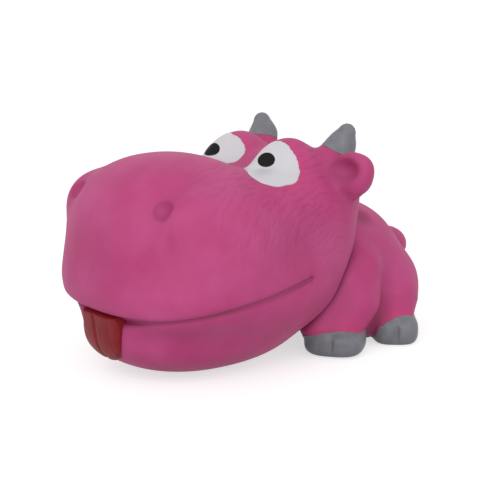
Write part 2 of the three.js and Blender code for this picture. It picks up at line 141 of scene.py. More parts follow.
ear = {
    "flap": {
        "x": 33.2, "y": 28.4, "z": 64.7, "across": 6.8, "deep": 4.3, "up": 6.9, "squareness": 2.5, "yaw": 25,
        "roll": 12},
    "root": (22, 30, 61), "outer": 4.4, "inner": 5.6,
    "lobeTop": (33.2, 28.4, 63), "lobeEnd": (32.6, 29, 58), "lobeRadius": 3.8, "lobeTip": 1.9, "partsMelt": 5,
    "hollow": {"x": 33.8, "y": 22.9, "z": 66.4, "across": 4.2, "deep": 3.6, "up": 3.4, "yaw": 25},
    "hollowRound": 6, "melt": 5,
}
eye = {
    "ball": {"x": 13.4, "y": 8.9, "z": 57.7, "across": 5.6, "deep": 11, "up": 17, "lean": -18}, "melt": 3,
}

muzzle, upperLip, cheeks, flanks = (lump(head[name]) for name in ("muzzle", "upperLip", "cheeks", "flanks"))
brow, temple, headSide = (lump(head[name]) for name in ("brow", "temple", "side"))
bump, nostril, chin = (lump(head[name]) for name in ("bump", "nostril", "chin"))
mound = limb(head["moundLow"], head["moundHigh"], head["moundLowRadius"], head["moundHighRadius"])
hornLow = limb(horn["root"], horn["bend"], horn["rootRadius"], horn["bendRadius"])
hornHigh = limb(horn["bend"], horn["tip"], horn["bendRadius"], horn["tipRadius"])
earFlap, earHollow, eyeBall = lump(ear["flap"]), lump(ear["hollow"]), lump(eye["ball"])
earRoot = limb([ear["flap"][axis] for axis in "xyz"], ear["root"], ear["outer"], ear["inner"])
earLobe = limb(ear["lobeTop"], ear["lobeEnd"], ear["lobeRadius"], ear["lobeTip"])
dimple = lump(mouth["dimple"])


def faceForm(q):
    form = melt(muzzle(q), upperLip(q), head["faceMelt"])
    form = melt(form, cheeks(q), head["faceMelt"])
    return melt(form, flanks(q), head["faceMelt"])


def hornForm(q):
    return melt(hornLow(q), hornHigh(q), horn["bendMelt"])


def earForm(q):
    form = melt(melt(earFlap(q), earRoot(q), ear["partsMelt"]), earLobe(q), ear["partsMelt"])
    return trim(form, -earHollow(q), ear["hollowRound"])


def aboveLip(q):
    # how far a point is above the mouth line, which climbs back along the sides
    run = np.clip((q[:, 1] - mouth["frontY"]) / mouth["length"], *mouth["runs"])
    height = mouth["frontZ"] + mouth["climb"] * run ** mouth["power"]
    steep = mouth["climb"] * mouth["power"] / mouth["length"] * run ** (mouth["power"] - 1)
    return (q[:, 2] - height) / np.sqrt(1 + np.minimum(steep, mouth["steepest"]) ** 2)


def headTop(q, face):
    form = melt(face, temple(q), head["templeMelt"])
    form = melt(form, headSide(q), head["sideMelt"])
    form = melt(form, brow(q), head["browMelt"])
    form = melt(form, mound(q), head["moundMelt"])
    form = melt(form, bump(q), head["bumpMelt"])
    form = trim(form, -nostril(q), head["nostrilRound"])
    form = melt(form, eyeBall(q), eye["melt"])
    form = melt(form, hornForm(q), horn["melt"])
    return melt(form, earForm(q), ear["melt"])


def headForm(p):
    # upper head and jaw part along the mouth line, and the form between them keeps the crease shallow
    q = leftSide(p)
    face = faceForm(q)
    top = headTop(q, face)
    front = 1 - ease(*mouth["frontEnds"], q[:, 1])
    jaw = melt(chin(q), face + mouth["overhang"] * front, head["chinMelt"])
    above = aboveLip(q)
    middle = 1 - ease(mouth["frontHalf"], 2 * mouth["frontHalf"], q[:, 0])
    half = (mouth["gap"] + (mouth["frontGap"] - mouth["gap"]) * middle) / 2
    half = half - mouth["closing"] * np.maximum(q[:, 1] - mouth["cornerY"], 0)
    lip = trim(top, half - above, mouth["lipRound"])
    drop = mouth["jawDrop"] * (1 - ease(*mouth["dropEnds"], q[:, 0])) * front
    lower = trim(jaw, above + half + drop, mouth["jawRound"])
    shallower = (mouth["cornerDeep"] - mouth["deep"]) * ease(*mouth["deepEnds"], q[:, 1])
    heart = np.minimum(top, jaw) + mouth["deep"] + shallower
    form = melt(melt(lip, lower, mouth["lipsMelt"]), heart, mouth["deepMelt"])
    form = trim(form, -dimple(q), mouth["dimpleRound"])
    return np.maximum(form, -q[:, 2])


# Body: trunk, tail stub, thighs and legs, with a hole in the belly for the squeaker.
body = {
    "trunk": {"y": 45.4, "z": 27.6, "across": 24.4, "deep": 29.7, "up": 23.4, "squareness": 2.1, "lean": -9},
    "nape": {"y": 30.5, "z": 36, "across": 20, "deep": 12.5, "up": 18.6}, "napeMelt": 7,
    "tail": {"y": 78, "z": 29.2, "across": 8, "deep": 6.8, "up": 6.4}, "tailMelt": 10,
    "hip": (21, 42, 28), "knee": (24, 38, 18), "ankle": (24, 31.6, 8), "hipRadius": 9, "kneeRadius": 8.5,
    "ankleRadius": 7.5, "legMelt": 5, "frontMelt": 7,
    "webFront": (20.5, 39, 8.3), "webRear": (20.5, 51, 8.3), "webRadius": 6.5, "webMelt": 4,
    "shoulder": (23.6, 34.6, 26), "elbow": (21, 23.6, 10.5), "shoulderRadius": 6, "shoulderMelt": 6,
    "haunch": {"x": 15, "y": 61.2, "z": 17.5, "across": 11.5, "deep": 14.2, "up": 14, "squareness": 2.1},
    "rearKnee": (22, 59, 14), "rearAnkle": (24.7, 57.3, 8), "rearKneeRadius": 9, "rearAnkleRadius": 7.3,
    "haunchMelt": 8, "rearMelt": 12,
    "frontHoof": {
        "x": 23.2, "y": 30.6, "z": 4.5, "across": 10.4, "deep": 9.8, "up": 5, "squareness": 3, "yaw": 38},
    "rearHoof": {
        "x": 25.7, "y": 57.3, "z": 4.5, "across": 8.2, "deep": 8.4, "up": 5.5, "squareness": 3, "yaw": 50},
    "hoofMelt": 1.8, "cleftRadius": 1, "cleftOut": 0.2, "cleftLow": -2, "cleftRound": 1.2, "soleRound": 1.2,
    "squeakerY": 47, "collarRadius": 10, "collarZ": 3.16, "collarHalf": 3, "collarMelt": 1, "collarTop": 6.96,
    "holeRadius": 5.5, "roomRadius": 8.5, "roomTop": 15.9, "roomRound": 0.4,
    "neckDip": {"x": 17.7, "y": 49, "z": 46.3, "across": 3.2, "deep": 4.2, "up": 2.6, "roll": 30},
    "neckDipRound": 3,
    "cell": 0.5, "netLow": (-37, 13, -1), "netHigh": (37, 89, 54),
}
trunk, nape, tail = (lump(body[name]) for name in ("trunk", "nape", "tail"))
haunch, neckDip = lump(body["haunch"]), lump(body["neckDip"])
thigh = limb(body["hip"], body["knee"], body["hipRadius"], body["kneeRadius"])
shin = limb(body["knee"], body["ankle"], body["kneeRadius"], body["ankleRadius"])
shoulder = limb(body["shoulder"], body["elbow"], body["shoulderRadius"], body["shoulderRadius"])
web = limb(body["webFront"], body["webRear"], body["webRadius"], body["webRadius"])
rearShin = limb(body["rearKnee"], body["rearAnkle"], body["rearKneeRadius"], body["rearAnkleRadius"])


def hoofWithCleft(sizes):
    # the cleft is an upright groove in the middle of the hoof's front
    block = lump(sizes)
    nose = turned(yaw=sizes["yaw"]) @ np.array([0, -sizes["deep"] - body["cleftOut"], 0], np.float32)
    x, y = sizes["x"] + nose[0], sizes["y"] + nose[1]
    groove = limb((x, y, body["cleftLow"]), (x, y, 2 * sizes["z"]), body["cleftRadius"], body["cleftRadius"])
    return lambda q: trim(block(q), -groove(q), body["cleftRound"])


frontHoof, rearHoof = hoofWithCleft(body["frontHoof"]), hoofWithCleft(body["rearHoof"])


def hoofForm(q):
    return np.minimum(frontHoof(q), rearHoof(q))


def legsForm(q):
    front = melt(melt(thigh(q), shin(q), body["legMelt"]), shoulder(q), body["shoulderMelt"])
    rear = melt(haunch(q), rearShin(q), body["haunchMelt"])
    return front, rear


def bodyForm(p):
    q = leftSide(p)
    front, rear = legsForm(q)
    form = melt(melt(trunk(q), nape(q), body["napeMelt"]), front, body["frontMelt"])
    form = melt(melt(form, rear, body["rearMelt"]), web(q), body["webMelt"])
    form = melt(form, tail(q), body["tailMelt"])
    form = trim(form, -neckDip(q), body["neckDipRound"])
    form = melt(form, hoofForm(q), body["hoofMelt"])
    form = trim(form, -q[:, 2], body["soleRound"])
    out = np.hypot(q[:, 0], q[:, 1] - body["squeakerY"])
    fromCollar = np.abs(q[:, 2] - body["collarZ"] - body["collarHalf"]) - body["collarHalf"]
    form = melt(form, np.maximum(out - body["collarRadius"], fromCollar), body["collarMelt"])
    belowTop = q[:, 2] - body["roomTop"]
    hole = np.maximum(out - body["holeRadius"], belowTop)
    room = np.maximum(out - body["roomRadius"], np.maximum(body["collarTop"] - q[:, 2], belowTop))
    return trim(form, -np.minimum(hole, room), body["roomRound"])


# Nets: a form is sampled near its skin, turned into a net of faces, and every corner is moved onto the skin.
# Blocks of cells that lie further off than the reach, in blocks, are only marked as inside or outside.
net = {
    "block": 5, "reach": 1.9, "farOff": 3, "batch": 4000, "flattest": 0.1,
    "slopeStep": 0.06, "rounds": 3, "mostMove": 0.3,
}


def inMm(p):
    return np.array(p, np.float32)


def slopeOf(field, p, step=net["slopeStep"]):
    slope = np.empty_like(p)
    for axis in range(3):
        shift = np.zeros(3, np.float32)
        shift[axis] = step
        slope[:, axis] = (field(p + shift) - field(p - shift)) / (2 * step)
    return slope


def ontoSkin(field, p, rounds=net["rounds"]):
    for _ in range(rounds):
        slope = slopeOf(field, p)
        size = np.maximum((slope * slope).sum(1), net["flattest"])
        move = slope * (field(p) / size)[:, None]
        far = np.sqrt((move * move).sum(1))
        p = p - move * np.minimum(1, net["mostMove"] / np.maximum(far, 1e-9))[:, None]
    return p


def netOf(field, sizes):
    low, high, cell, coarse = inMm(sizes["netLow"]), inMm(sizes["netHigh"]), sizes["cell"], net["block"]
    counts = [int(math.ceil((high[i] - low[i]) / (cell * coarse))) for i in range(3)]
    block = np.arange(coarse, dtype=np.float32) * cell

    def spots(starts):
        return low + starts.astype(np.float32) * cell * coarse

    starts = np.stack(np.meshgrid(*[np.arange(count) for count in counts], indexing="ij"), -1).reshape(-1, 3)
    rough = field(spots(starts) + cell * coarse / 2)
    values = np.where(rough < 0, -net["farOff"], net["farOff"]).astype(np.float32).reshape(counts)
    for axis in range(3):
        values = np.repeat(values, coarse, axis)
    near = np.abs(rough) < net["reach"] * cell * coarse
    inner = np.stack(np.meshgrid(block, block, block, indexing="ij"), -1).reshape(1, -1, 3)
    shaped = values.reshape(counts[0], coarse, counts[1], coarse, counts[2], coarse)
    shaped = shaped.transpose(0, 2, 4, 1, 3, 5)  # by block first, then by cell
    blocks = starts[near]
    for first in range(0, len(blocks), net["batch"]):
        part = blocks[first:first + net["batch"]]
        found = field((spots(part)[:, None, :] + inner).reshape(-1, 3)).reshape(-1, coarse, coarse, coarse)
        shaped[part[:, 0], part[:, 1], part[:, 2]] = np.clip(found, -net["farOff"], net["farOff"])
    values = shaped.transpose(0, 3, 1, 4, 2, 5).reshape([count * coarse for count in counts])
    grid = openvdb.FloatGrid(float(net["farOff"]))
    grid.copyFromArray(np.ascontiguousarray(values))
    points, quads = grid.convertToQuads(0.0)
    points = low + np.asarray(points, np.float32) * cell
    return ontoSkin(field, points), np.asarray(quads, np.int32)


def newPiece(name, points, faces):
    # points come in mm as the fields measure them and go out in metres in the toy's own frame
    mesh = bpy.data.meshes.new(name)
    placed = (np.asarray(points, np.float64) - [0, middleY, 0]) / 1000
    faces = np.asarray(faces, np.int32)
    mesh.vertices.add(len(placed))
    mesh.vertices.foreach_set("co", placed.astype(np.float32).ravel())
    mesh.loops.add(faces.size)
    mesh.loops.foreach_set("vertex_index", faces.ravel())
    mesh.polygons.add(len(faces))
    mesh.polygons.foreach_set("loop_start", np.arange(len(faces), dtype=np.int32) * faces.shape[1])
    mesh.update(calc_edges=True)
    mesh.validate()
    mesh.polygons.foreach_set("use_smooth", np.ones(len(faces), bool))
    piece = bpy.data.objects.new(name, mesh)
    bpy.context.scene.collection.objects.link(piece)
    return piece


def facingOut(points, faces):
    # a closed net whose volume comes out negative is inside out
    a, b, c = (points[faces[:, i]].astype(np.float64) for i in range(3))
    d = points[faces[:, 3]].astype(np.float64)
    volume = (np.cross(b - a, c - a) * a).sum() + (np.cross(c - a, d - a) * a).sum()
    return faces if volume > 0 else faces[:, ::-1]


def place(piece, nodes, slot, material):
    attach(piece, "toy")
    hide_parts(*nodes)
    piece.data.materials.clear()
    piece.data.materials.append(material)
    print(f"{piece.name}: {len(piece.data.polygons)} faces")


# Materials: each colour is written as sRGB hex.
def linear(code):
    parts = [int(code[i:i + 2], 16) / 255 for i in (1, 3, 5)]
    parts = [part / 12.92 if part <= 0.04045 else ((part + 0.055) / 1.055) ** 2.4 for part in parts]
    return (*parts, 1.0)


def perMm(size):
    return 1000 / size  # a pattern of this size in mm, on coordinates in metres


def addNode(tree, kind, links=None, **settings):
    node = tree.nodes.new(kind)
    for name, value in settings.items():
        setattr(node, name, value)
    for name, value in (links or {}).items():
        if isinstance(value, bpy.types.NodeSocket):
            tree.links.new(value, node.inputs[name])
        else:
            node.inputs[name].default_value = value
    return node


def newMaterial(name, roughness, ior):
    material = bpy.data.materials.new(name)
    material.use_nodes = True
    tree = material.node_tree
    tree.nodes.clear()
    shader = addNode(tree, "ShaderNodeBsdfPrincipled", {"Roughness": roughness, "IOR": ior})
    addNode(tree, "ShaderNodeOutputMaterial", {"Surface": shader.outputs[0]})
    where = addNode(tree, "ShaderNodeTexCoord").outputs["Object"]
    return material, tree, shader, where


def drawPattern(tree, shader, height, share, colours, deep):
    # a pattern shades the surface from one colour to the other and stands up from it, deep in mm
    ends = {6: linear(colours[0]), 7: linear(colours[1])}
    colour = addNode(tree, "ShaderNodeMix", {0: share, **ends}, data_type="RGBA")
    tree.links.new(colour.outputs[2], shader.inputs["Base Color"])
    relief = addNode(tree, "ShaderNodeBump", {"Height": height, "Distance": deep / 1000})
    tree.links.new(relief.outputs[0], shader.inputs["Normal"])


# Natural latex, slush moulded and tumbled: matt, slightly waxy, paler in patches at random, and darkened with
# painted shade in creases, dips, hollows and grooves.
# The real grain is finer and is drawn coarse enough to show.
latex = {
    # The deep colour is painted shade, laid in creases, dips, hollows and grooves.
    "pink": "#b03770", "pale": "#b9467e", "deep": "#741a43", "flush": "#c42c6a",
    "patch": 16, "patchFrom": 0.35, "patchTo": 0.7, "ripple": 4.5, "rippleDeep": 0.1,
    "grain": 0.9, "grainDeep": 0.035, "roughness": 0.6, "ior": 1.44,
}


def latexMaterial():
    material, tree, shader, where = newMaterial("pink_moulded_latex", latex["roughness"], latex["ior"])
    patches = addNode(tree, "ShaderNodeTexNoise", {
        "Vector": where, "Scale": perMm(latex["patch"]), "Detail": 2.0})
    patchy = addNode(tree, "ShaderNodeMapRange", {
        "Value": patches.outputs[0], "From Min": latex["patchFrom"], "From Max": latex["patchTo"]})
    colour = addNode(tree, "ShaderNodeMix", {
        0: patchy.outputs[0], 6: linear(latex["pink"]), 7: linear(latex["pale"])}, data_type="RGBA")
    # the flush, then painted shade where the skin lies in creases, dips, hollows and grooves
    for layer, tint in (("flush", latex["flush"]), ("paintedShade", latex["deep"])):
        spread = addNode(tree, "ShaderNodeAttribute", attribute_name=layer)
        colour = addNode(tree, "ShaderNodeMix", {
            0: spread.outputs["Fac"], 6: colour.outputs[2], 7: linear(tint)}, data_type="RGBA")
    tree.links.new(colour.outputs[2], shader.inputs["Base Color"])
    ripple = addNode(tree, "ShaderNodeTexNoise", {"Vector": where, "Scale": perMm(latex["ripple"])})
    wavy = addNode(tree, "ShaderNodeBump", {
        "Height": ripple.outputs[0], "Distance": latex["rippleDeep"] / 1000})
    grain = addNode(tree, "ShaderNodeTexNoise", {
        "Vector": where, "Scale": perMm(latex["grain"]), "Detail": 3.0})
    rough = addNode(tree, "ShaderNodeBump", {
        "Height": grain.outputs[0], "Distance": latex["grainDeep"] / 1000, "Normal": wavy.outputs[0]})
    tree.links.new(rough.outputs[0], shader.inputs["Normal"])
    return material


# Rubber paint brushed on by hand: it levels out to a smooth coat with faint strokes. The second colour is
# that of its thin places.
paints = {
    "grey": {
        "name": "grey_rubber_paint", "colours": ("#6c6e74", "#7a7a81"), "roughness": 0.5, "ior": 1.5,
        "stroke": 2.2, "deep": 0.05, "stretch": (1, 1, 0.5)},
    "white": {
        "name": "white_rubber_paint", "colours": ("#c8c7cc", "#cbc0c7"), "roughness": 0.36, "ior": 1.5,
        "stroke": 3.5, "deep": 0.05, "stretch": (1, 1, 0.6)},
    "black": {
        "name": "black_gloss_paint", "colours": ("#070708", "#0e0d0e"), "roughness": 0.3, "ior": 1.28,
        "stroke": 1.8, "deep": 0.02, "stretch": (1, 1, 1)},
    "red": {
        "name": "deep_red_rubber_paint", "colours": ("#7a141c", "#8f1f27"), "roughness": 0.5, "ior": 1.3,
        "stroke": 2.5, "deep": 0.05, "stretch": (1.6, 1.6, 0.3)},
    "thinFrom": 0.45, "thinTo": 0.8,
}


def paintMaterial(paint):
    material, tree, shader, where = newMaterial(paint["name"], paint["roughness"], paint["ior"])
    drawn = addNode(tree, "ShaderNodeMapping", {"Vector": where, "Scale": paint["stretch"]})
    strokes = addNode(tree, "ShaderNodeTexNoise", {
        "Vector": drawn.outputs[0], "Scale": perMm(paint["stroke"]), "Detail": 4.0})
    thin = addNode(tree, "ShaderNodeMapRange", {
        "Value": strokes.outputs[0], "From Min": paints["thinFrom"], "From Max": paints["thinTo"]})
    drawPattern(tree, shader, strokes.outputs[0], thin.outputs[0], paint["colours"], paint["deep"])
    return material


# Injection moulded polypropylene for the squeaker, milky, with a spark-eroded grain from its tool that is
# drawn coarser than it is.
plastic = {
    "name": "natural_moulded_polypropylene", "colours": ("#e6e4de", "#d9d7d0"), "grain": 0.35,
    "grainDeep": 0.012, "roughness": 0.42, "ior": 1.49,
}


def plasticMaterial():
    material, tree, shader, where = newMaterial(plastic["name"], plastic["roughness"], plastic["ior"])
    grain = addNode(tree, "ShaderNodeTexNoise", {
        "Vector": where, "Scale": perMm(plastic["grain"]), "Detail": 2.0})
    drawPattern(tree, shader, grain.outputs[0], grain.outputs[0], plastic["colours"], plastic["grainDeep"])
    return material


# Cut polyester film for the reed: thin, glassy and faintly blue, rolled smooth with long draw lines.
film = {
    "name": "clear_polyester_film", "colours": ("#cfd8da", "#b9c6ca"), "line": 0.4, "lineDeep": 0.004,
    "drawn": (1, 1, 0.05), "roughness": 0.15, "ior": 1.57,
}


def filmMaterial():
    material, tree, shader, where = newMaterial(film["name"], film["roughness"], film["ior"])
    drawn = addNode(tree, "ShaderNodeMapping", {"Vector": where, "Scale": film["drawn"]})
    lines = addNode(tree, "ShaderNodeTexNoise", {
        "Vector": drawn.outputs[0], "Scale": perMm(film["line"]), "Detail": 2.0})
    drawPattern(tree, shader, lines.outputs[0], lines.outputs[0], film["colours"], film["lineDeep"])
    return material


pinkLatex = latexMaterial()
greyPaint, whitePaint, blackPaint, redPaint = (
    paintMaterial(paints[name]) for name in ("grey", "white", "black", "red"))
plasticFinish, filmFinish = plasticMaterial(), filmMaterial()
print("materials made")

# Hair strokes: short grooves that the mould maker cut into the sides of the head, in rows that curve round
# the corner of the mouth, steep near the muzzle and flat by the ear. The real ones are about this wide.
fur = {
    "tries": 3000, "apart": 2.3, "long": (3, 7.5), "step": 0.3, "wide": 0.38, "deep": 0.3, "force": (0.4, 1),
    "wander": 8, "aroundY": 26, "aroundZ": 20, "least": 0.05, "faintest": 0.02,
    # where the rows fade in, behind the nose, ahead of the ear, above the cheek and clear of the paint
    "behind": (-38, -26), "ahead": (20, 30), "above": (28, 50), "aboveFall": 0.3, "sideways": (0.1, 0.4),
    "offEye": (0.8, 2), "offEar": (1, 3), "offHorn": (1, 2.5),
}


def furPlaces(q, normal):
    # where the grooves are cut, from 0 to 1, on the left side
    along = ease(*fur["behind"], q[:, 1]) * (1 - ease(*fur["ahead"], q[:, 1]))
    high = ease(*fur["above"], q[:, 2] + fur["aboveFall"] * q[:, 1])
    sideways = ease(*fur["sideways"], normal[:, 0])
    offPaint = ease(*fur["offEye"], eyeEdge(q)) * ease(*fur["offHorn"], hornForm(q))
    return along * high * sideways * offPaint * ease(*fur["offEar"], earForm(q))


def layStrokes(form, points):
    normal = slopeOf(form, points)
    normal /= np.linalg.norm(normal, axis=1)[:, None]
    side = np.where(points[:, 0] < 0, -1, 1)
    share = furPlaces(leftSide(points), normal * np.stack([side, np.ones_like(side), np.ones_like(side)], 1))
    tries = random.choice(np.flatnonzero(share > fur["least"]), fur["tries"], replace=False)
    kept = []
    for index in tries:
        if not kept or np.square(points[kept] - points[index]).sum(1).min() > fur["apart"] ** 2:
            kept.append(index)
    start, count = points[kept], len(kept)
    lengths = random.uniform(*fur["long"], count) / 2
    tilt = random.normal(0, math.radians(fur["wander"]), count)
    force = share[kept] * random.uniform(*fur["force"], count)
    trail, depths = [], []
    for way in (-1, 1):
        spot, run = start.copy(), np.zeros(count)
        for _ in range(int(fur["long"][1] / 2 / fur["step"])):
            angle = np.arctan2(fur["aroundY"] - spot[:, 1], spot[:, 2] - fur["aroundZ"]) + tilt
            flow = np.stack([np.zeros(count), np.cos(angle), np.sin(angle)], 1)
            outward = slopeOf(form, spot)
            outward /= np.linalg.norm(outward, axis=1)[:, None]
            flow -= outward * (flow * outward).sum(1)[:, None]
            flow /= np.linalg.norm(flow, axis=1)[:, None]
            trail.append(spot.copy())
            depths.append(force * (1 - np.clip(run / lengths, 0, 1) ** 2))
            spot = (spot + way * flow * fur["step"]).astype(np.float32)
            spot -= outward * form(spot)[:, None]
            run = run + fur["step"]
    trail, depths = np.concatenate(trail), np.concatenate(depths)
    trail, depths = trail[depths > fur["faintest"]], depths[depths > fur["faintest"]]
    tree = kdtree.KDTree(len(trail))
    for index, spot in enumerate(trail):
        tree.insert(spot, index)
    tree.balance()
    print(f"{count} hair strokes laid")
    return tree, depths


def strokeAt(strokes, points):
    # 1 in the middle of a full groove, 0 between grooves
    tree, depths = strokes
    found = [tree.find(spot) for spot in points]
    nearest = np.array([index for _, index, _ in found])
    away = np.array([distance for _, _, distance in found])
    return depths[nearest] * np.exp(-(away / fur["wide"]) ** 2)


# How much painted shade each corner of a net takes, darker the deeper it lies in a crease or dip, and where
# the pink is flushed.
# A pair beside a form's name gives how strong its painted shade or flush is and how many mm it reaches.
shade = {
    "creaseReaches": (1.2, 3.5), "creaseWeight": 0.5, "creaseStrength": 0.85, "creaseStart": 0.08,
    "stroke": 0.12,
    "neckDip": (0.5, 1.6), "earHollow": (0.55, 1.2), "web": (0.9, 0.8), "nostril": (0.15, 0.8),
    "hoof": (0.8, 2.5), "horn": (0.5, 2), "eye": (0.5, 2.5), "eyeAbove": (58, 64), "eyeBehind": (-6, 2),
}


def shadeRound(name, away):
    strength, reach = shade[name]
    return strength * np.exp(-np.maximum(away, 0) / reach)


def addShades(piece, form, around, strokes=None):
    count = len(piece.data.vertices)
    places = np.empty(count * 3, np.float32)
    piece.data.vertices.foreach_get("co", places)
    points = inMm(places.reshape(-1, 3) * 1000 + [0, middleY, 0])
    normal = slopeOf(form, points)
    normal /= np.maximum(np.linalg.norm(normal, axis=1), net["flattest"])[:, None]
    # painted shade: the less room there is off the skin within each reach, the darker the corner
    paintedShade = np.zeros(count)
    for reach in shade["creaseReaches"]:
        free = around((points + normal * reach).astype(np.float32)) / reach
        paintedShade += shade["creaseWeight"] * np.clip(1 - free, 0, 1)
    q = leftSide(points)
    nearEye = ease(*shade["eyeAbove"], q[:, 2]) * ease(*shade["eyeBehind"], q[:, 1])
    flush = shadeRound("hoof", hoofForm(q)) + shadeRound("horn", hornForm(q))
    flush += shadeRound("eye", eyeEdge(q)) * nearEye
    paintedShade = paintedShade * shade["creaseStrength"] - shade["creaseStart"]
    # painted shade in the neck dip, the ear's hollow, the web between the legs and the nostril
    for name, field in (("neckDip", neckDip), ("earHollow", earHollow), ("web", web), ("nostril", nostril)):
        paintedShade += shadeRound(name, field(q))
    # painted shade in the grooves of the hair strokes
    if strokes:
        paintedShade += shade["stroke"] * strokeAt(strokes, points)
    for name, values in (("paintedShade", np.clip(paintedShade, 0, 1)), ("flush", np.clip(flush, 0, 1))):
        layer = piece.data.attributes.new(name, "FLOAT", "POINT")
        layer.data.foreach_set("value", values.astype(np.float32))


def everything(p):
    return np.minimum(headForm(p), bodyForm(p))


def thinned(piece, most):
    # fewer faces where the skin is smooth, so that the cut strokes keep theirs
    triangles = sum(len(face.vertices) - 2 for face in piece.data.polygons)
    if triangles <= most:
        return
    fewer = piece.modifiers.new("fewer", "DECIMATE")
    fewer.ratio = most / triangles
    whole = bpy.data.meshes.new_from_object(piece.evaluated_get(bpy.context.evaluated_depsgraph_get()))
    piece.modifiers.clear()
    old, piece.data = piece.data, whole
    bpy.data.meshes.remove(old)
    piece.data.polygons.foreach_set("use_smooth", np.ones(len(piece.data.polygons), bool))


# Paint edges, as points on the skin that the brush stopped at. The white of an eye is a rounded triangle.
outerWhite = [
    (13.2, -2.2, 65.6), (18.5, -5, 66), (24, -7.4, 65.5), (26.9, -6.6, 64.4), (28.2, -4.5, 63.4),
    (29.3, -1.7, 62.4), (28.9, 2.6, 62.6), (28.4, 7.1, 62.9), (26.6, 9.9, 64.3), (24.5, 12.1, 66.3),
    (23, 12.9, 68.3), (21.1, 13, 70.6), (19, 12.8, 72.6), (16.5, 13, 74.1),
]
leftWhite = outerWhite + [
    (12, 11.5, 74.3), (9.5, 10, 73.2), (8.4, 8, 71.5), (8.6, 6, 69.5), (9.6, 3, 67.6), (11.4, 0.5, 66),
]
rightWhite = outerWhite + [
    (11.5, 12.3, 74.4), (8.4, 13, 73.5), (4.9, 12.5, 70.9), (2, 9.8, 68.7), (1, 5.3, 66.8), (6, -0.6, 65.6),
]
tongueEdge = [
    (-8, -51, 20), (-9.3, -50.3, 16), (-9.6, -49.5, 12.8), (-8.6, -49, 10.4), (-6, -48.2, 8.3),
    (-2, -47.2, 7.3), (3, -46.8, 7.4), (5.6, -47.1, 8.1), (7.7, -47.9, 9.4), (8.9, -48.6, 11.3),
    (10.7, -49.6, 16), (11.4, -50.2, 21.5), (10, -51.5, 24), (0, -52.5, 24.5), (-7, -51.5, 24),
]
edge = {"spokes": 720, "eyeBlur": 9, "tongueBlur": 8}  # the blur is a number of spokes


def brushEdge(outline, blur):
    # how far a point lies outside an outline, seen square on to it, with the outline's corners blurred
    outline = inMm(outline)
    middle = outline.mean(0)
    across, upward = np.linalg.svd(outline - middle)[2][:2]
    fine = np.linspace(-math.pi, math.pi, edge["spokes"], endpoint=False)

    def spokes(p):
        u, v = (p - middle) @ across, (p - middle) @ upward
        return np.arctan2(v, u), np.hypot(u, v)

    turn, reach = spokes(outline)
    order = np.argsort(turn)
    reach = np.interp(fine, turn[order], reach[order], period=2 * math.pi)
    window = np.hanning(2 * blur + 3)[1:-1]
    reach = np.convolve(np.r_[reach[-blur:], reach, reach[:blur]], window / window.sum(), "valid")

    def field(p):
        turn, away = spokes(p)
        return (away - np.interp(turn, fine, reach, period=2 * math.pi)).astype(np.float32)
    return field


eyeEdge, farEyeEdge = brushEdge(leftWhite, edge["eyeBlur"]), brushEdge(rightWhite, edge["eyeBlur"])
tongueOutline = brushEdge(tongueEdge, edge["tongueBlur"])

points, faces = netOf(headForm, head)
faces = facingOut(points, faces)
strokes = layStrokes(headForm, points)
normal = slopeOf(headForm, points)
normal /= np.linalg.norm(normal, axis=1)[:, None]
points = points - normal * (strokeAt(strokes, points) * fur["deep"])[:, None]
skin = newPiece("head_skin_moulding", points, faces)
thinned(skin, head["mostTriangles"])
addShades(skin, headForm, everything, strokes)
place(skin, ["head_skin", "lower_jaw", "left_ear", "right_ear"], "pink_latex", pinkLatex)

points, faces = netOf(bodyForm, body)
hide = newPiece("body_skin_moulding", points, facingOut(points, faces))
addShades(hide, bodyForm, everything)
place(hide, ["trunk_skin", "tail", "front_left_leg", "front_right_leg", "rear_left_leg", "rear_right_leg"],
      "pink_latex", pinkLatex)


# Paint: each coat is a thin skin over the pink, cut off where the brush stopped.
def coat(name, field, sizes, side, node, paint):
    points, faces = netOf(field, sizes)
    points = points * np.array([side, 1, 1], np.float32)
    place(newPiece(name, points, facingOut(points, faces)), [node], *paint)


# a paint's slot in the record and its material
grey, white = ("grey_paint", greyPaint), ("white_paint", whitePaint)
black, red = ("black_paint", blackPaint), ("red_paint", redPaint)

eyeCoat = {
    "coat": 0.28, "ragged": 0.14, "round": 0.25, "middleX": 14, "middleZ": 67, "lowest": 54,
    "waves": ((11, 0), (23, 1), (41, 2)),  # how many waves run round the ragged edge, and where each starts
    "cell": 0.3, "netLow": (-1, -8, 54), "netHigh": (32, 20, 79),
}
pupil = {
    "left": {"x": 16.1, "y": 4.8, "z": 69.3, "tilt": 30},
    "right": {"x": 12.6, "y": 3.7, "z": 69.9, "tilt": -35},  # written for the left like every form
    "across": 3.0, "up": 2.75, "proud": 0.46, "sunk": 1, "round": 0.5, "rounds": 8,
    "cell": 0.22, "netLow": (7, -6, 63), "netHigh": (23, 16, 76),
}
tongue = {
    "thick": 1.3, "sunk": 2.5, "round": 1.4, "groove": 0.4, "grooveWide": 0.9, "aboveLip": 0.2, "rootY": -40,
    "cell": 0.35, "netLow": (-15, -58, 2), "netHigh": (15, -36, 27),
}
hornCoat = {
    "coat": 0.12, "reach": 2.5, "x": 18.8, "y": 26.4, "z": 73.2, "fallOutward": 0.28, "fallBack": 0.33,
    "cell": 0.35, "netLow": (10, 20, 64), "netHigh": (33, 46, 82),
}
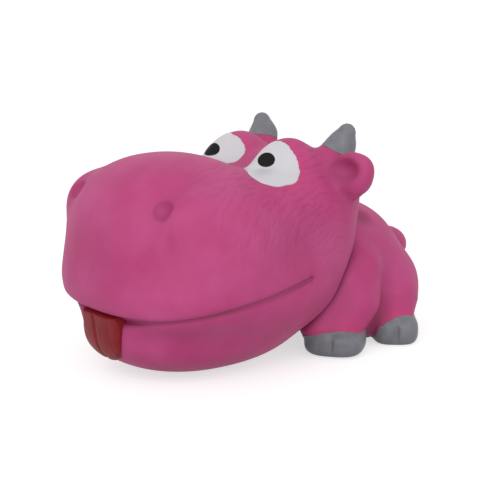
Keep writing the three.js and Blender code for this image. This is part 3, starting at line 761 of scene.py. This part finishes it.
# The upper edge of a hoof's paint is given as pairs of an angle round the hoof and a height.
hoofCoat = {
    "coat": 0.15, "reach": 2.5,
    "front": {
        "edge": [(-125, 6.3), (-96, 8.1), (-78, 8.7), (-68, 9.2), (-30, 9.7), (0, 9.2), (23, 8.2),
                 (90, 7.5), (180, 6.5)],
        "cell": 0.4, "netLow": (8, 16, -1), "netHigh": (39, 46, 13)},
    "rear": {
        "edge": [(-125, 2.8), (-82, 6.7), (-68, 8.6), (-50, 10), (-27, 10.7), (4, 10.6), (46, 9.5),
                 (120, 7.5), (180, 5)],
        "cell": 0.4, "netLow": (12, 44, -1), "netHigh": (40, 71, 13)},
}


def eyeWhiteForm(whiteEdge):
    def field(p):
        turn = np.arctan2(p[:, 2] - eyeCoat["middleZ"], p[:, 0] - eyeCoat["middleX"])
        waves = sum(np.sin(count * turn + start) for count, start in eyeCoat["waves"])
        ragged = eyeCoat["ragged"] * waves / 2
        skin = np.maximum(headForm(p) - eyeCoat["coat"], eyeCoat["lowest"] - p[:, 2])
        return trim(skin, whiteEdge(p) + ragged, eyeCoat["round"])
    return field


def hornCoatForm(p):
    low = hornCoat["z"] - hornCoat["fallOutward"] * (p[:, 0] - hornCoat["x"])
    low = low - hornCoat["fallBack"] * (p[:, 1] - hornCoat["y"])
    form = np.maximum(headForm(p) - hornCoat["coat"], hornForm(p) - hornCoat["reach"])
    return np.maximum(form, low - p[:, 2])


def hoofCoatForm(hoof, block, heights):
    angles, tops = inMm(heights).T

    def field(p):
        turn = np.degrees(np.arctan2(p[:, 1] - block["y"], p[:, 0] - block["x"]))
        top = np.interp(turn, angles, tops, period=360).astype(np.float32)
        form = np.maximum(bodyForm(p) - hoofCoat["coat"], p[:, 2] - top)
        form = np.maximum(form, np.maximum(hoof(p) - hoofCoat["reach"], -p[:, 2]))
        return np.maximum(form, hoof(p) - web(p))  # the web between the legs stays pink
    return field


def tongueForm(p):
    q = leftSide(p)
    jaw = melt(chin(q), faceForm(q) + mouth["overhang"], head["chinMelt"])
    form = trim(jaw - tongue["thick"], tongueOutline(p), tongue["round"])
    form = form + tongue["groove"] * np.exp(-(p[:, 0] / tongue["grooveWide"]) ** 2)
    form = np.maximum(form, -jaw - tongue["sunk"])
    return np.maximum(form, np.maximum(aboveLip(q) - tongue["aboveLip"], p[:, 1] - tongue["rootY"]))


def pupilForm(at):
    # a tilted oval, drawn square on to the skin where the pupil sits
    middle = ontoSkin(headForm, inMm([[at[axis] for axis in "xyz"]]), rounds=pupil["rounds"])[0]
    outward = slopeOf(headForm, middle[None], step=1)[0]
    outward /= np.linalg.norm(outward)
    upward = inMm((0, 0, 1)) - outward * outward[2]
    upward /= np.linalg.norm(upward)
    sideways = np.cross(upward, outward)
    cos, sin = math.cos(math.radians(at["tilt"])), math.sin(math.radians(at["tilt"]))

    def field(p):
        u, v = (p - middle) @ sideways, (p - middle) @ upward
        u, v = u * cos + v * sin, v * cos - u * sin
        rim = (np.hypot(u / pupil["across"], v / pupil["up"]) - 1) * pupil["up"]
        skin = headForm(p)
        return np.maximum(trim(skin - pupil["proud"], rim, pupil["round"]), -pupil["sunk"] - skin)
    return field


for label, side, whiteEdge in (("left", 1, eyeEdge), ("right", -1, farEyeEdge)):
    coat(f"{label}_eye_white_coat", eyeWhiteForm(whiteEdge), eyeCoat, side, f"{label}_eye", white)
    coat(f"{label}_pupil_coat", pupilForm(pupil[label]), pupil, side, f"{label}_pupil", black)
    coat(f"{label}_horn_coat", hornCoatForm, hornCoat, side, f"{label}_horn", grey)
    for end, hoof in (("front", frontHoof), ("rear", rearHoof)):
        form = hoofCoatForm(hoof, body[f"{end}Hoof"], hoofCoat[end]["edge"])
        coat(f"{end}_{label}_hoof_coat", form, hoofCoat[end], side, f"{end}_{label}_hoof", grey)
coat("tongue_coat", tongueForm, tongue, 1, "tongue", red)

# Squeaker: a turned housing with softened edges. Its seat, clamp and reed keep their solids. The rim lists
# which radius and which height each corner of its section has.
housing = {
    "y": body["squeakerY"], "low": 1.66, "bore": 3.9, "flange": 8, "flangeTop": 2.86, "neck": 5.2,
    "grooveTop": 7.26, "bead": 6.6, "beadTop": 8.46, "barrel": 5.6, "top": 14.16, "soft": 0.25,
    "mostSoft": 0.45, "softSteps": 4, "sides": 96,
    "rim": (("bore", "low"), ("flange", "low"), ("flange", "flangeTop"), ("neck", "flangeTop"),
            ("neck", "grooveTop"), ("bead", "grooveTop"), ("barrel", "beadTop"), ("barrel", "top"),
            ("bore", "top")),
}


def softened(outline):
    # each corner of a closed outline becomes a short curve, which leaves some of every side straight
    found = []
    for index, corner in enumerate(outline):
        before, after = Vector(outline[index - 1]), Vector(outline[(index + 1) % len(outline)])
        corner = Vector(corner)
        back, ahead = before - corner, after - corner
        reach = min(housing["soft"], back.length * housing["mostSoft"], ahead.length * housing["mostSoft"])
        first, last = corner + back.normalized() * reach, corner + ahead.normalized() * reach
        for step in range(housing["softSteps"] + 1):
            share = step / housing["softSteps"]
            found.append(first.lerp(corner, share).lerp(corner.lerp(last, share), share))
    return found


def turnedPiece(name, outline, centreY, sides):
    count = len(outline)
    points, faces = [], []
    for side in range(sides):
        angle = 2 * math.pi * side / sides
        points += [(radius * math.cos(angle), centreY + radius * math.sin(angle), z) for radius, z in outline]
        for index in range(count):
            a, b = side * count + index, side * count + (index + 1) % count
            c, d = ((side + 1) % sides) * count + (index + 1) % count, ((side + 1) % sides) * count + index
            faces.append((a, b, c, d))
    points = np.array(points, np.float32)
    return newPiece(name, points, facingOut(points, np.array(faces)))


section = softened([(housing[radius], housing[height]) for radius, height in housing["rim"]])
shell = turnedPiece("squeaker_housing_moulding", section, housing["y"], housing["sides"])
place(shell, ["squeaker_housing"], "squeaker_plastic", plasticFinish)
insides = {"reed_seat": plasticFinish, "reed_clamp": plasticFinish, "squeaker_reed": filmFinish}
for name, finish in insides.items():
    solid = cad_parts[name].data
    solid.materials.clear()
    solid.materials.append(finish)
print("squeaker done")

# Studio: a plain floor, a soft key light above and to the left of the camera, a weaker fill light low on its
# right, even light from all round, and the camera of the photograph. The way to a lamp is how far it lies to
# the camera's right, towards the camera and up.
shot = {
    "azimuth": 51.7, "elevation": 11.8, "distance": 0.44, "target": (0, -0.00873, 0.0394),
    "focalPixels": 1267, "picturePixels": 480, "sensor": 36, "nearest": 0.01, "furthest": 100,
}
studio = {
    "floor": "#c4c4c4", "floorGlow": 0.62, "floorHalf": 12, "around": 0.75,
    "lampSize": 0.7, "lampDistance": 0.9,
    "lamps": {"key_light": {"way": (-0.3, 0.8, 0.5), "power": 2.8},
              "fill_light": {"way": (0.45, 0.85, -0.02), "power": 1.65}},
}


def cameraWay(azimuth, elevation):
    turn, rise = math.radians(azimuth), math.radians(elevation)
    return Vector((math.sin(turn) * math.cos(rise), -math.cos(turn) * math.cos(rise), math.sin(rise)))


camera = bpy.data.objects.new("camera", bpy.data.cameras.new("camera"))
bpy.context.scene.collection.objects.link(camera)
back = cameraWay(shot["azimuth"], shot["elevation"])
camera.location = Vector(shot["target"]) + back * shot["distance"]
camera.rotation_euler = (-back).to_track_quat("-Z", "Y").to_euler()
camera.data.sensor_width = shot["sensor"]
camera.data.lens = shot["focalPixels"] / shot["picturePixels"] * shot["sensor"]
camera.data.clip_start, camera.data.clip_end = shot["nearest"], shot["furthest"]
bpy.context.scene.camera = camera

toCamera = cameraWay(shot["azimuth"], 0)
right = Vector((-toCamera.y, toCamera.x, 0))
for name, light in studio["lamps"].items():
    side, ahead, up = light["way"]
    lampWay = (right * side + toCamera * ahead + Vector((0, 0, up))).normalized()
    lamp = bpy.data.objects.new(name, bpy.data.lights.new(name, "AREA"))
    bpy.context.scene.collection.objects.link(lamp)
    lamp.data.shape = "SQUARE"
    lamp.data.size, lamp.data.energy = studio["lampSize"], light["power"]
    lamp.location = Vector(shot["target"]) + lampWay * studio["lampDistance"]
    lamp.location.z = max(lamp.location.z, studio["lampSize"] / 2)  # its lower edge stays above the floor
    lamp.rotation_euler = (-lampWay).to_track_quat("-Z", "Y").to_euler()


def seenRays(tree):
    # 1 for what the camera sees, by itself, in a gloss or through the film, and 0 for light that bounces
    path = addNode(tree, "ShaderNodeLightPath")
    seen = path.outputs["Is Camera Ray"]
    for kind in ("Is Glossy Ray", "Is Transmission Ray"):
        either = addNode(tree, "ShaderNodeMath", {0: seen, 1: path.outputs[kind]}, operation="MAXIMUM")
        seen = either.outputs[0]
    return seen


world = bpy.data.worlds.new("studio")
bpy.context.scene.world = world
world.use_nodes = True
tree = world.node_tree
tree.nodes.clear()
soft = addNode(tree, "ShaderNodeBackground", {"Color": (1, 1, 1, 1), "Strength": studio["around"]})
plain = addNode(tree, "ShaderNodeBackground", {"Color": (1, 1, 1, 1), "Strength": 1.0})
both = addNode(tree, "ShaderNodeMixShader", {0: seenRays(tree), 1: soft.outputs[0], 2: plain.outputs[0]})
addNode(tree, "ShaderNodeOutputWorld", {"Surface": both.outputs[0]})

# Painted studio floor, rolled matt, so it shows no gloss. To the camera it is white, but for a faint shadow
# close round the toy.
half = studio["floorHalf"]
mesh = bpy.data.meshes.new("studio_floor")
mesh.from_pydata([(-half, -half, 0), (half, -half, 0), (half, half, 0), (-half, half, 0)], [], [(0, 1, 2, 3)])
floor = bpy.data.objects.new("studio_floor", mesh)
bpy.context.scene.collection.objects.link(floor)
matt = bpy.data.materials.new("matt_white_floor_paint")
matt.use_nodes = True
tree = matt.node_tree
tree.nodes.clear()
paint = addNode(tree, "ShaderNodeBsdfDiffuse", {"Color": linear(studio["floor"])})
glow = addNode(tree, "ShaderNodeEmission", {"Color": (1, 1, 1, 1), "Strength": studio["floorGlow"]})
bright = addNode(tree, "ShaderNodeAddShader", {0: paint.outputs[0], 1: glow.outputs[0]})
total = addNode(tree, "ShaderNodeMixShader", {0: seenRays(tree), 1: paint.outputs[0], 2: bright.outputs[0]})
addNode(tree, "ShaderNodeOutputMaterial", {"Surface": total.outputs[0]})
mesh.materials.append(matt)

bpy.context.scene.view_settings.view_transform = "Standard"
print("studio lit")
